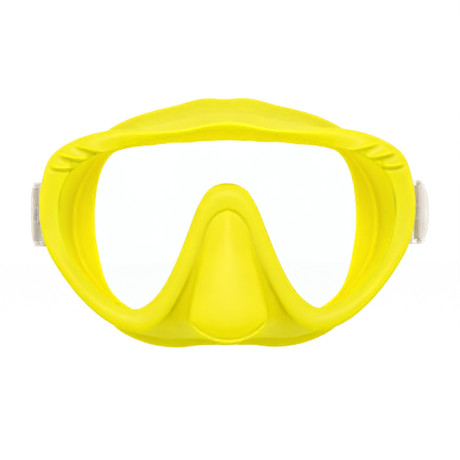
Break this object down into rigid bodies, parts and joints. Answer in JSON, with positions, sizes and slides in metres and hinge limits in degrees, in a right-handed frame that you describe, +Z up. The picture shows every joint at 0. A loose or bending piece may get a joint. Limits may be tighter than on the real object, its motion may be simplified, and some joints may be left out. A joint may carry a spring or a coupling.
{
  "type": "diving mask",
  "caption": "Frameless diving mask with a nose pocket: a soft moulded skirt grips the glass, and a clear buckle on each side swivels, folds and locks the strap.",
  "frame": {"origin": "the middle of the face opening, on the line between the temples' and the forehead's reach", "axes": "+X along the mask's width, +Y towards the wearer's face, +Z up; the glass faces -Y"},
  "size_m": [0.1891, 0.0743, 0.1184],
  "materials": {
    "silicone": "satin, slightly translucent yellow",
    "glass": "clear, polished",
    "clear": "clear polycarbonate",
    "acetal": "smooth white",
    "steel": "polished stainless"
  },
  "bodies": {
    "mask": {"skirt": "silicone", "lens": "glass", "anchor_plate_right": "clear", "swivel_rivet_right": "steel", "anchor_plate_left": "clear", "swivel_rivet_left": "steel"},
    "link_right": {"swivel_link_right": "clear", "hinge_pin_right": "steel"},
    "buckle_right": {"buckle_frame_right": "clear", "roller_pin_right": "steel", "lever_pin_right": "steel", "lever_spring_right": "steel"},
    "roller_right": {"strap_roller_right": "acetal"},
    "lever_right": {"locking_lever_right": "clear"},
    "link_left": {"swivel_link_left": "clear", "hinge_pin_left": "steel"},
    "buckle_left": {"buckle_frame_left": "clear", "roller_pin_left": "steel", "lever_pin_left": "steel", "lever_spring_left": "steel"},
    "roller_left": {"strap_roller_left": "acetal"},
    "lever_left": {"locking_lever_left": "clear"}
  },
  "joints": [
    {"name": "swivel_right", "type": "hinge", "parent": "mask", "child": "link_right", "pos_m": [0.0835, -0.0295, 0.0078], "axis": [1, 0, 0], "range_deg": [-25, 25]},
    {"name": "fold_right", "type": "hinge", "parent": "link_right", "child": "buckle_right", "pos_m": [0.0856, -0.018, 0.0078], "axis": [0, 0, -1], "range_deg": [-22, 44]},
    {"name": "roller_right_spin", "type": "hinge", "parent": "buckle_right", "child": "roller_right", "pos_m": [0.0928, -0.00016, 0.0078], "axis": [0, 0, -1], "continuous": true},
    {"name": "lever_right_press", "type": "hinge", "parent": "buckle_right", "child": "lever_right", "pos_m": [0.09095, -0.01349, 0.0078], "axis": [0, 0, -1], "range_deg": [0, 10], "stiffness_Nm_per_rad": 0.01, "springref_deg": -28.65, "deforming": ["lever_spring_right"]},
    {"name": "swivel_left", "type": "hinge", "parent": "mask", "child": "link_left", "pos_m": [-0.0835, -0.0295, 0.0078], "axis": [1, 0, 0], "range_deg": [-25, 25]},
    {"name": "fold_left", "type": "hinge", "parent": "link_left", "child": "buckle_left", "pos_m": [-0.0856, -0.018, 0.0078], "axis": [0, 0, 1], "range_deg": [-1, 65]},
    {"name": "roller_left_spin", "type": "hinge", "parent": "buckle_left", "child": "roller_left", "pos_m": [-0.08593, 0.00123, 0.0078], "axis": [0, 0, 1], "continuous": true},
    {"name": "lever_left_press", "type": "hinge", "parent": "buckle_left", "child": "lever_left", "pos_m": [-0.08898, -0.01187, 0.0078], "axis": [0, 0, 1], "range_deg": [0, 10], "stiffness_Nm_per_rad": 0.01, "springref_deg": -28.65, "deforming": ["lever_spring_left"]}
  ]
}
